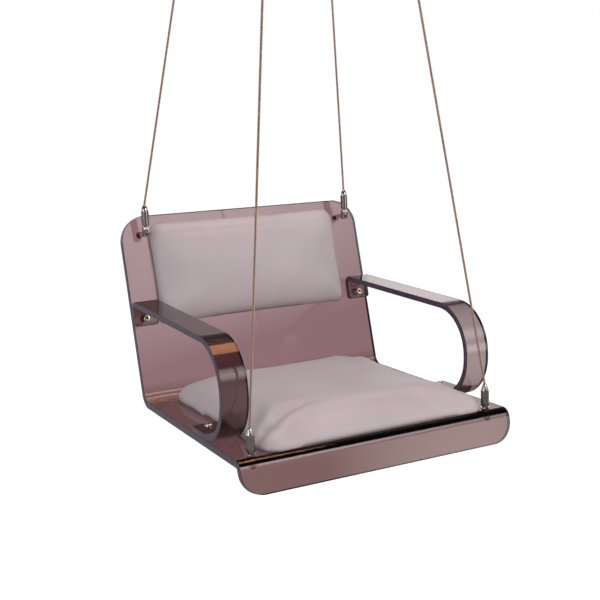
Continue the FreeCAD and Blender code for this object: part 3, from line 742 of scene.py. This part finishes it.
def cone(low, bulge):
    """A rope cone from its foot's height; the bulge makes it straight or bullet-shaped."""
    levels = [(CONE_BASE - CONE_CHAMFER, low), (CONE_BASE, low + CONE_CHAMFER)]
    for k in range(1, CONE_STEPS + 1):
        share = k / CONE_STEPS
        radius = CONE_BASE + (CONE_TIP - CONE_BASE) * share ** bulge
        levels.append((radius, low + CONE_CHAMFER + (CONE_HIGH - 2 * CONE_CHAMFER) * share))
    levels.append((CONE_TIP - CONE_LIP, low + CONE_HIGH))
    levels.append((MOUTH_RADIUS, low + CONE_HIGH))
    levels.append((MOUTH_RADIUS, low + CONE_HIGH - MOUTH_DEEP))
    return levels


def clamp_block(place):
    """The rear gripper's foot: a short cylinder with two flats along the back."""
    half, radius = BLOCK_HIGH / 2, GRIPPER_RADIUS
    builder = bmesh.new()
    inner, short = radius - BLOCK_CHAMFER, half - BLOCK_CHAMFER
    turned(builder, place, [(inner, -half), (radius, -short), (radius, short), (inner, half)])
    off = Vector((0.0, -math.cos(RECLINE), math.sin(RECLINE)))
    for side in (-1.0, 1.0):
        cut = bmesh.ops.bisect_plane(
            builder, geom=builder.verts[:] + builder.edges[:] + builder.faces[:],
            plane_co=place @ (off * side * BLOCK_HALF_DEEP),
            plane_no=(place.to_3x3() @ (off * side)).normalized(), clear_outer=True,
        )
        rim = [item for item in cut["geom_cut"] if isinstance(item, bmesh.types.BMEdge)]
        bmesh.ops.contextual_create(builder, geom=rim)
    mesh = bpy.data.meshes.new("clamp_block")
    builder.to_mesh(mesh)
    builder.free()
    return mesh


def make_fittings():
    """Grippers, cones, collars, nuts and screws, each kind as one piece."""
    fronts, rears, feet, flanges, studs = [], [], [], [], []
    arm_up = arm_corners()[3][1] / math.cos(RECLINE) - ARM_BACK_SCREW_DROP
    for sign in SIDES.values():
        x = sign * FRONT_STUD[0]
        fronts.append(SEAT_PLACE @ Matrix.Translation((x, FRONT_STUD[1], 0.0)))
        x = sign * REAR_STUD[0]
        middle = back_place(x, REAR_STUD[1], REAR_BLOCK_OFF).to_translation()
        rears.append(SEAT_PLACE @ Matrix.Translation(middle))
        studs.append((x, REAR_STUD[1]))
        x = sign * (SEAT_WIDTH - ARM_WIDTH) / 2
        feet.append((x, ARM_FOOT_SCREW_Y))
        flanges.append((x, arm_up))
    foot = [(NECK_RADIUS, COLLAR_THICK), (NECK_RADIUS, COLLAR_THICK + NECK_HIGH)]
    rod = [(BLOCK_NECK_RADIUS, 0.0), (BLOCK_NECK_RADIUS, BLOCK_HIGH / 2 + BLOCK_NECK_HIGH)]
    low, high = COLLAR_THICK + NECK_HIGH, BLOCK_HIGH / 2 + BLOCK_NECK_HIGH
    new_fitting(
        "front_gripper_barrels", "front_grippers", SHADED_BARREL,
        [(place, foot + barrel(low)) for place in fronts],
    )
    new_fitting(
        "rear_gripper_barrels", "rear_grippers", SHADED_BARREL,
        [(place, rod + barrel(high)) for place in rears],
        [clamp_block(place) for place in rears],
    )
    new_fitting(
        "rope_cones", "gripper_cones", POLISHED,
        [(place, cone(low + GRIPPER_BARREL, CONE_BULGES["front"])) for place in fronts]
        + [(place, cone(high + GRIPPER_BARREL, CONE_BULGES["rear"])) for place in rears],
    )
    new_fitting(
        "seat_collars", "front_collars", POLISHED, [(place, COLLAR) for place in fronts])
    under = Matrix.Translation((0.0, 0.0, -SHEET_THICK)) @ FLIP
    new_fitting(
        "front_cap_nuts", "front_nuts", FASTENER,
        [(place @ under, CAP_NUT) for place in fronts],
    )
    new_fitting(
        "rear_cap_nuts", "rear_nuts", FASTENER,
        [(SEAT_PLACE @ back_place(x, up, -SHEET_THICK) @ FLIP, CAP_NUT) for x, up in studs],
    )
    off = REAR_BLOCK_OFF + BLOCK_HALF_DEEP
    # The rear screws take the barrels' painted shade, which keeps their heads dark.
    new_fitting(
        "rear_socket_screws", "rear_screws", SHADED_BARREL,
        [(SEAT_PLACE @ back_place(x, up, off), REAR_SCREW) for x, up in studs],
        socket=SOCKET_LEVEL,
    )
    on_seat = [SEAT_PLACE @ Matrix.Translation((x, y, ARM_THICK)) for x, y in feet]
    on_back = [SEAT_PLACE @ back_place(x, up, ARM_THICK) for x, up in flanges]
    new_fitting(
        "arm_socket_screws", "armrest_screws", FASTENER,
        [(place, ARM_SCREW) for place in on_seat + on_back], socket=SOCKET_LEVEL,
    )
    through = Matrix.Translation((0.0, 0.0, -ARM_THICK - SHEET_THICK)) @ FLIP
    new_fitting(
        "arm_cap_nuts", "armrest_nuts", FASTENER,
        [(place @ through, CAP_NUT) for place in on_seat + on_back],
    )


# Cushions. Local Z is their height off the acrylic, and the outline is centred.
# The four corners' radii follow each other from the one at +X and -Y, turning left.
CUSHION_EDGE = 70.0
CUSHION_GAP = 0.3
CUSHIONS = {
    "seat": {
        "x": 486.0, "y": 474.0, "high": 52.0, "corners": (24.0, 40.0, 46.0, 38.0), "pull": 5.0,
        "profile": [
            (0.0, 0.0), (0.0, 0.06), (0.02, 0.28), (0.08, 0.52), (0.2, 0.73), (0.42, 0.87),
            (0.72, 0.95), (1.0, 1.0),
        ],
    },
    "back": {
        "x": 466.0, "y": 226.0, "high": 46.0, "corners": (9.0, 26.0, 30.0, 9.0), "pull": 3.0,
        "profile": [
            (0.0, 0.0), (0.0, 0.08), (0.03, 0.3), (0.11, 0.55), (0.26, 0.76), (0.5, 0.9),
            (0.78, 0.97), (1.0, 1.0),
        ],
    },
}
SEAT_CUSHION_FRONT = 10.0
BACK_CUSHION_LOW = 164.0
BACK_CUSHION_SHIFT = 6.0
SIDE_STEPS = 16
ROUND_STEPS = 8
# A pad is made this much smaller, and swells back into its size.
SLACK = {"seat": 5.0, "back": 4.0}
# Its foot starts a little wider, because smoothing draws it in.
RIM_SHARE = 0.7
VOXEL = 0.0055
PRESSURE = 4.0
STIFFNESS = 25.0
SWELL_STEPS = 20
SWELL_CAP = 12.0
SIDE_SHARE = 0.35
HELD_BELOW = 4.0
SMOOTH_FACTOR = 0.5
SMOOTH_BEFORE = 6
SMOOTH_AFTER = 8
SMOOTH_LAST = 2
# The folds fade in over the pad's height: their rate, and how far they start below it
FOLD_RATE = 1.6
FOLD_START = 0.3
# Folds as lines across a pad: how deep, how wide, and their points. Below 0 is a ridge.
FOLDS = {
    "seat": [
        (18.0, 13.0, [(-270.0, -206.0), (-240.0, -198.0), (-214.0, -182.0)]),
        (9.0, 16.0, [(-214.0, -182.0), (-176.0, -164.0), (-120.0, -142.0)]),
        (-2.6, 17.0, [(-176.0, -196.0), (-60.0, -206.0), (80.0, -214.0), (190.0, -218.0)]),
        (2.2, 20.0, [(-120.0, -140.0), (0.0, -168.0), (120.0, -180.0), (200.0, -196.0)]),
        (2.5, 24.0, [(238.0, -150.0), (190.0, -120.0), (150.0, -100.0)]),
    ],
    "back": [
        (1.5, 6.0, [(-190.0, 82.0), (-100.0, 84.0), (-21.0, 81.0), (53.0, 85.0), (192.0, 78.0)]),
    ],
}
PUCKER = 1.1
PUCKER_SIZE = 75.0
PIPING_RADIUS = 1.2
PIPING_INSET = 0.4
PIPING_SIDES = 8


def outline(half_x, half_y, corners, pull):
    """Points around four round corners and four sides drawn in at their middle."""
    points = []
    for quarter in range(4):
        reach, across = (half_y, half_x) if quarter % 2 == 0 else (half_x, half_y)
        turn = Matrix.Rotation(math.pi / 2 * quarter, 2)
        before, corner = corners[quarter - 1], corners[quarter]
        start, end = before - across, across - corner
        for k in range(SIDE_STEPS):
            share = k / SIDE_STEPS
            x = start + (end - start) * share
            points.append(turn @ Vector((x, -reach + pull * 4 * share * (1 - share))))
        for k in range(ROUND_STEPS):
            angle = math.pi / 2 * k / ROUND_STEPS
            x = end + corner * math.sin(angle)
            y = -reach + corner - corner * math.cos(angle)
            points.append(turn @ Vector((x, y)))
    return points


def cushion_mesh(name, size, place, slack):
    """A pad as rings over its profile, drawn in by its slack."""
    half_x, half_y = size["x"] / 2, size["y"] / 2
    points, faces = [], []
    rings = []
    top = size["high"] - slack
    for inset_share, height_share in size["profile"]:
        inset = CUSHION_EDGE * inset_share - slack * RIM_SHARE * (1 - inset_share)
        height = CUSHION_GAP + (top - CUSHION_GAP) * height_share
        ring = outline(half_x - inset, half_y - inset, size["corners"], size["pull"])
        rings.append([(p.x, p.y, height) for p in ring])
    count = len(rings[0])
    for ring in rings:
        points.extend(place @ Vector(p) for p in ring)
    for row in range(len(rings) - 1):
        for k in range(count):
            a, b = row * count + k, row * count + (k + 1) % count
            faces.append([a, b, b + count, a + count])
    for row, height in ((0, CUSHION_GAP), (len(rings) - 1, top)):
        points.append(place @ Vector((0.0, 0.0, height)))
        middle = len(points) - 1
        for k in range(count):
            faces.append([middle, row * count + k, row * count + (k + 1) % count])
    return mesh_of(name, points, faces)


def settled(mesh, *modifiers):
    """The mesh with modifiers applied, each given as its kind and its settings."""
    holder = bpy.data.objects.new(mesh.name, mesh)
    bpy.context.scene.collection.objects.link(holder)
    for kind, values in modifiers:
        modifier = holder.modifiers.new(kind, kind)
        for key, value in values.items():
            setattr(modifier, key, value)
    bpy.context.view_layer.update()
    graph = bpy.context.evaluated_depsgraph_get()
    done = bpy.data.meshes.new_from_object(holder.evaluated_get(graph))
    bpy.data.objects.remove(holder)
    return done


def smoothing(times):
    """A smoothing step for settled."""
    return "SMOOTH", {"factor": SMOOTH_FACTOR, "iterations": times}


def swell(name, mesh, local):
    """Blows the pad up under its cover as cloth, held where it rests on the sheet."""
    mesh = settled(
        mesh, ("REMESH", {"mode": "VOXEL", "voxel_size": VOXEL}),
        smoothing(SMOOTH_BEFORE),
    )
    scene = bpy.context.scene
    pad = bpy.data.objects.new(name, mesh)
    scene.collection.objects.link(pad)
    starts = [vertex.co.copy() for vertex in mesh.vertices]
    held = pad.vertex_groups.new(name="held")
    low = [i for i, start in enumerate(starts) if (local @ start).z < HELD_BELOW]
    held.add(low, 1.0, "REPLACE")
    cloth = pad.modifiers.new("cloth", "CLOTH")
    cloth.settings.vertex_group_mass = "held"
    cloth.settings.bending_stiffness = STIFFNESS
    cloth.settings.use_pressure = True
    cloth.settings.uniform_pressure_force = PRESSURE
    cloth.settings.effector_weights.gravity = 0.0
    cloth.point_cache.frame_end = SWELL_STEPS
    for step in range(1, SWELL_STEPS + 1):
        scene.frame_set(step)
    graph = bpy.context.evaluated_depsgraph_get()
    done = bpy.data.meshes.new_from_object(pad.evaluated_get(graph))
    scene.frame_set(1)
    bpy.data.objects.remove(pad)
    return done, starts


def run_to(point, line):
    """The distance from a point to a line of points, all in the pad's plane."""
    best = math.inf
    for a, b in zip(line, line[1:]):
        a, b = Vector(a), Vector(b)
        share = (point - a).dot(b - a) / (b - a).length_squared
        best = min(best, (point - a.lerp(b, min(max(share, 0.0), 1.0))).length)
    return best


def folded(spot, name, size):
    """The spot with the pad's folds and puckers pressed into its upper side."""
    upper = min(max(spot.z / size["high"] * FOLD_RATE - FOLD_START, 0.0), 1.0)
    flat = Vector((spot.x, spot.y))
    drop = 0.0
    for deep, wide, line in FOLDS[name]:
        drop += deep * math.exp(-((run_to(flat, line) / wide) ** 2))
    rough = noise.noise(Vector((spot.x, spot.y, spot.z)) / PUCKER_SIZE)
    spot.z += upper * (PUCKER * rough - drop)
    return spot


def shaped(name, mesh, place, size):
    """The pad after swelling, capped, folded and made smooth."""
    local = place.inverted()
    mesh, starts = swell(name, mesh, local)
    half_x, half_y = size["x"] / 2, size["y"] / 2
    for vertex, start in zip(mesh.vertices, starts):
        start = local @ start
        move = local @ vertex.co - start
        if move.length > SWELL_CAP:
            move *= SWELL_CAP / move.length
        vertex.co = place @ (start + Vector((move.x * SIDE_SHARE, move.y * SIDE_SHARE, move.z)))
    mesh = settled(mesh, smoothing(SMOOTH_AFTER))
    for vertex in mesh.vertices:
        spot = folded(local @ vertex.co, name, size)
        spot.x = min(max(spot.x, -half_x), half_x)
        spot.y = min(max(spot.y, -half_y), half_y)
        spot.z = max(spot.z, CUSHION_GAP)
        vertex.co = place @ spot
    return settled(mesh, smoothing(SMOOTH_LAST), ("SUBSURF", {"levels": 1}))


def piping_mesh(name, size, place):
    """A welt around the pad's foot, where its cover meets the base. Its dark brown is partly the
    seam's own and partly painted shade where the pad meets the sheet.
    """
    height = CUSHION_GAP + PIPING_RADIUS
    half_x, half_y = size["x"] / 2, size["y"] / 2
    line = outline(
        half_x - PIPING_INSET, half_y - PIPING_INSET, size["corners"], size["pull"])
    count = len(line)
    points, faces = [], []
    for i, spot in enumerate(line):
        along = line[(i + 1) % count] - line[i - 1]
        out = Vector((along.y, -along.x)).normalized()
        for k in range(PIPING_SIDES):
            angle = math.tau * k / PIPING_SIDES
            beside = spot + out * PIPING_RADIUS * math.cos(angle)
            rise = height + PIPING_RADIUS * math.sin(angle)
            points.append(place @ Vector((beside.x, beside.y, rise)))
            a, b = i * PIPING_SIDES + k, i * PIPING_SIDES + (k + 1) % PIPING_SIDES
            faces.append([a, b, (b + PIPING_SIDES) % (count * PIPING_SIDES),
                          (a + PIPING_SIDES) % (count * PIPING_SIDES)])
    return mesh_of(name, points, faces)


def make_cushions():
    """Two pads and their welts."""
    seat_place = SEAT_PLACE @ Matrix.Translation(
        (0.0, SEAT_CUSHION_FRONT + CUSHIONS["seat"]["y"] / 2, 0.0))
    up = BACK_CUSHION_LOW + CUSHIONS["back"]["y"] / 2
    places = {"seat": seat_place, "back": SEAT_PLACE @ back_place(-BACK_CUSHION_SHIFT, up, 0.0)}
    for name, size in CUSHIONS.items():
        slack = SLACK[name]
        mesh = cushion_mesh(f"{name}_pad", size, places[name], slack)
        mesh = shaped(name, mesh, places[name], size)
        for face in mesh.polygons:
            face.use_smooth = True
        piece = new_piece(
            f"{name}_pad", mesh, LEATHERETTE, "seat",
            [f"{name}_cushion"],
        )
        welt = piping_mesh(f"{name}_pad_piping", size, places[name])
        new_piece(f"{name}_pad_piping", welt, PIPING_SHADE, "seat")


# Floor, background and lights
FLOOR_DROP = 1.75
FLOOR_HALF = 12.0
FLOOR_ROUGH = 0.9
FLOOR_SHADE = 0.4
# How the floor glows to sight and through glass, as light on the object, and in gloss
FLOOR_GLOW = 0.8
FLOOR_BOUNCE = 0.3
FLOOR_GLOSS = 0.15
# The world's strength as light on the object
WORLD_DIFFUSE = 0.62
# What the studio looks like in gloss and through the glass, by the sine of the height
GLOSS_SKY = ((0.0, 1.0), (0.07, 0.9), (0.17, 0.5), (0.28, 0.28), (0.57, 0.12), (1.0, 0.06))
GLASS_SKY = ((0.0, 1.0), (0.17, 1.0), (0.4, 0.5), (0.7, 0.2), (1.0, 0.15))
# How the sky's gloss grows towards the rear, by the direction's Y
REAR_GLOSS = {"From Min": -0.2, "From Max": 0.5, "To Min": 0.4, "To Max": 1.0}
# The lamps face this point of the seat's frame, in millimetres.
LAMP_AIM = (0.0, 250.0, 120.0)
# Name, place, width, height, radiance of the middle, colour, and whether it is a soft
# box. The other kind has hard sides, and only reflections and glass show it.
LAMPS = (
    ("key", (1.35, -2.47, 1.0), 2.8, 1.7, 4.3, (1.0, 0.97, 0.95), True),
    ("low", (1.83, -2.5, -0.66), 1.4, 1.0, 3.4, (1.0, 0.94, 0.88), True),
    ("top", (-0.4, 0.3, 1.9), 2.4, 2.4, 2.5, (1.0, 0.98, 0.98), True),
    ("left", (-3.0, -1.2, 0.0), 2.0, 2.4, 2.1, (0.80, 0.86, 1.0), True),
    ("copper", (0.61, 0.3, 1.28), 0.98, 0.54, 5.4, (1.0, 0.42, 0.18), False),
    ("rear", (2.45, 3.4, 0.2), 1.4, 1.4, 1.0, (1.0, 0.88, 0.88), True),
)


def blend_to(tree, share, low, high):
    """A socket that goes from low to high as the share goes from 0 to 1."""
    blend = add(tree, "ShaderNodeMix")
    tree.links.new(share, blend.inputs["Factor"])
    for key, value in (("A", low), ("B", high)):
        if isinstance(value, float):
            blend.inputs[key].default_value = value
        else:
            tree.links.new(value, blend.inputs[key])
    return blend.outputs["Result"]


def sky(tree, height, steps):
    """The height led through a ramp with one grey for each step."""
    ramp = add(tree, "ShaderNodeValToRGB")
    marks = ramp.color_ramp.elements
    while len(marks) < len(steps):
        marks.new(0.5)
    for mark, (position, shade) in zip(marks, steps):
        mark.position = position
        mark.color = (shade, shade, shade, 1.0)
    tree.links.new(height, ramp.inputs["Fac"])
    return ramp.outputs["Color"]


def by_ray(tree, diffuse, glossy, glass, socket):
    """Leads one shade for lighting, one for gloss and one through glass to a socket."""
    rays = add(tree, "ShaderNodeLightPath")
    shade = blend_to(tree, rays.outputs["Is Glossy Ray"], diffuse, glossy)
    shade = blend_to(tree, rays.outputs["Is Transmission Ray"], shade, glass)
    tree.links.new(shade, socket)
    return rays, shade


def make_world():
    """White to sight, and a plain studio to everything else."""
    world = bpy.data.worlds.new("studio")
    bpy.context.scene.world = world
    world.use_nodes = True
    tree = world.node_tree
    back = tree.nodes["Background"]
    back.inputs["Color"].default_value = (*WHITE, 1.0)
    place = add(tree, "ShaderNodeTexCoord")
    parts = add(tree, "ShaderNodeSeparateXYZ")
    tree.links.new(place.outputs["Generated"], parts.inputs["Vector"])
    behind = add(tree, "ShaderNodeMapRange")
    for key, value in REAR_GLOSS.items():
        behind.inputs[key].default_value = value
    tree.links.new(parts.outputs["Y"], behind.inputs["Value"])
    gloss = add(tree, "ShaderNodeMath", operation="MULTIPLY")
    tree.links.new(sky(tree, parts.outputs["Z"], GLOSS_SKY), gloss.inputs[0])
    tree.links.new(behind.outputs["Result"], gloss.inputs[1])
    glass = sky(tree, parts.outputs["Z"], GLASS_SKY)
    rays, shade = by_ray(tree, WORLD_DIFFUSE, gloss.outputs[0], glass, back.inputs["Strength"])
    seen = blend_to(tree, rays.outputs["Is Camera Ray"], shade, 1.0)
    tree.links.new(seen, back.inputs["Strength"])


def make_floor():
    """A pale floor far below, which keeps the seat's shadow."""
    builder = bmesh.new()
    bmesh.ops.create_grid(builder, x_segments=1, y_segments=1, size=FLOOR_HALF)
    mesh = bpy.data.meshes.new("floor")
    builder.to_mesh(mesh)
    builder.free()
    floor = bpy.data.objects.new("floor", mesh)
    bpy.context.scene.collection.objects.link(floor)
    floor.location.z = -FLOOR_DROP
    material, tree, shader = new_material("pale_floor")
    shader.inputs["Base Color"].default_value = (FLOOR_SHADE, FLOOR_SHADE, FLOOR_SHADE, 1.0)
    shader.inputs["Roughness"].default_value = FLOOR_ROUGH
    shader.inputs["Specular IOR Level"].default_value = 0.0
    shader.inputs["Emission Color"].default_value = (*WHITE, 1.0)
    glow = shader.inputs["Emission Strength"]
    rays, shade = by_ray(tree, FLOOR_BOUNCE, FLOOR_GLOSS, FLOOR_GLOW, glow)
    seen = blend_to(tree, rays.outputs["Is Camera Ray"], shade, FLOOR_GLOW)
    tree.links.new(seen, glow)
    mesh.materials.append(material)


def bell(tree, source):
    """4 u (1 - u) of a socket: 0 at both sides of a lamp, 1 in its middle."""
    other = add(tree, "ShaderNodeMath", operation="SUBTRACT")
    other.inputs[0].default_value = 1.0
    tree.links.new(source, other.inputs[1])
    both = add(tree, "ShaderNodeMath", operation="MULTIPLY")
    tree.links.new(source, both.inputs[0])
    tree.links.new(other.outputs[0], both.inputs[1])
    whole = add(tree, "ShaderNodeMath", operation="MULTIPLY")
    whole.inputs[1].default_value = 4.0
    tree.links.new(both.outputs[0], whole.inputs[0])
    return whole.outputs[0]


def fade_out(data):
    """Makes a lamp fade towards all four of its sides."""
    data.use_nodes = True
    tree = data.node_tree
    spot = add(tree, "ShaderNodeNewGeometry")
    parts = add(tree, "ShaderNodeSeparateXYZ")
    tree.links.new(spot.outputs["Parametric"], parts.inputs["Vector"])
    fade = add(tree, "ShaderNodeMath", operation="MULTIPLY")
    tree.links.new(bell(tree, parts.outputs["X"]), fade.inputs[0])
    tree.links.new(bell(tree, parts.outputs["Y"]), fade.inputs[1])
    tree.links.new(fade.outputs[0], tree.nodes["Emission"].inputs["Strength"])


def make_lamps():
    """Area lamps, each with the radiance of its middle."""
    for name, place, wide, high, radiance, tint, soft in LAMPS:
        data = bpy.data.lights.new(name, "AREA")
        data.shape = "RECTANGLE"
        data.size = wide
        data.size_y = high
        data.color = tint
        data.energy = radiance * math.pi * wide * high
        if soft:
            fade_out(data)
        lamp = bpy.data.objects.new(name, data)
        bpy.context.scene.collection.objects.link(lamp)
        lamp.visible_camera = False
        lamp.visible_diffuse = soft
        lamp.location = place
        aim = seat_point(*LAMP_AIM) - Vector(place)
        lamp.rotation_euler = aim.to_track_quat("-Z", "Y").to_euler()


make_camera()
dress_nodes()
make_ropes()
make_shell()
make_arms()
make_fittings()
make_cushions()
make_world()
make_floor()
make_lamps()
bpy.context.scene.view_settings.view_transform = "Standard"
